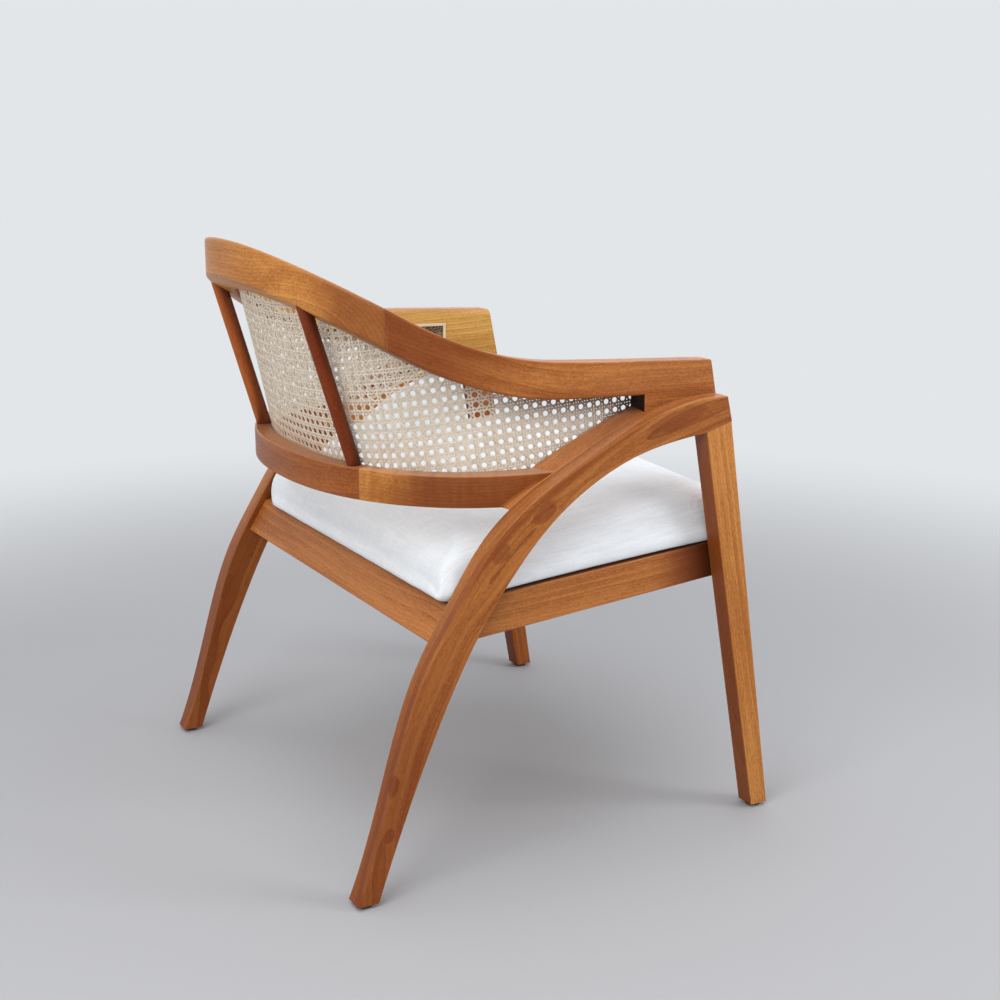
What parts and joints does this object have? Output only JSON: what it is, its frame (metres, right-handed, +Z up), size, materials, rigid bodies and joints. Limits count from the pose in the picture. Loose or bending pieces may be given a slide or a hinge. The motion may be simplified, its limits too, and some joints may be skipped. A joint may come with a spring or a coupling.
{
  "type": "dining armchair",
  "caption": "Wooden dining armchair with curved side frames, a horseshoe crest and arms, a caned wrap-round back and an upholstered seat",
  "frame": {"origin": "On the floor, under the middle of the chair's overall box", "axes": "+Z is up, the chair faces -Y, and +X is the sitter's left"},
  "size_m": [0.68, 0.645, 0.787],
  "materials": {
    "frame_wood": "satin, reddish brown, fine open grain",
    "hidden_wood": "unfinished pale wood and plywood",
    "seat_fabric": "off-white plain weave",
    "cane": "natural woven cane, straw coloured",
    "reed": "natural split reed",
    "glide_plastic": "dark moulded plastic",
    "screw_steel": "plain zinc plated"
  },
  "bodies": {
    "root": {"rear_leg_left": "frame_wood", "rear_leg_right": "frame_wood", "front_leg_left": "frame_wood", "front_leg_right": "frame_wood", "crest_centre": "frame_wood", "arm_left": "frame_wood", "arm_right": "frame_wood", "lower_rail_centre": "frame_wood", "lower_rail_left": "frame_wood", "lower_rail_right": "frame_wood", "cheek_left": "frame_wood", "cheek_right": "frame_wood", "back_slat_left": "frame_wood", "back_slat_right": "frame_wood", "seat_rail_front": "frame_wood", "seat_rail_rear": "frame_wood", "seat_rail_left": "frame_wood", "seat_rail_right": "frame_wood", "corner_block_front_left": "hidden_wood", "corner_block_front_right": "hidden_wood", "corner_block_rear_left": "hidden_wood", "corner_block_rear_right": "hidden_wood", "seat_board": "hidden_wood", "crest_dowels": "hidden_wood", "lower_rail_dowels": "hidden_wood", "leg_dowels": "hidden_wood", "arm_dowels": "hidden_wood", "cheek_dowels": "hidden_wood", "seat_rail_dowels": "hidden_wood", "seat_pad": "seat_fabric", "cane_panel": "cane", "cane_spline_upper": "reed", "cane_spline_lower": "reed", "cane_spline_front_left": "reed", "cane_spline_front_right": "reed", "foot_glides": "glide_plastic", "seat_screws": "screw_steel"}
  },
  "joints": []
}
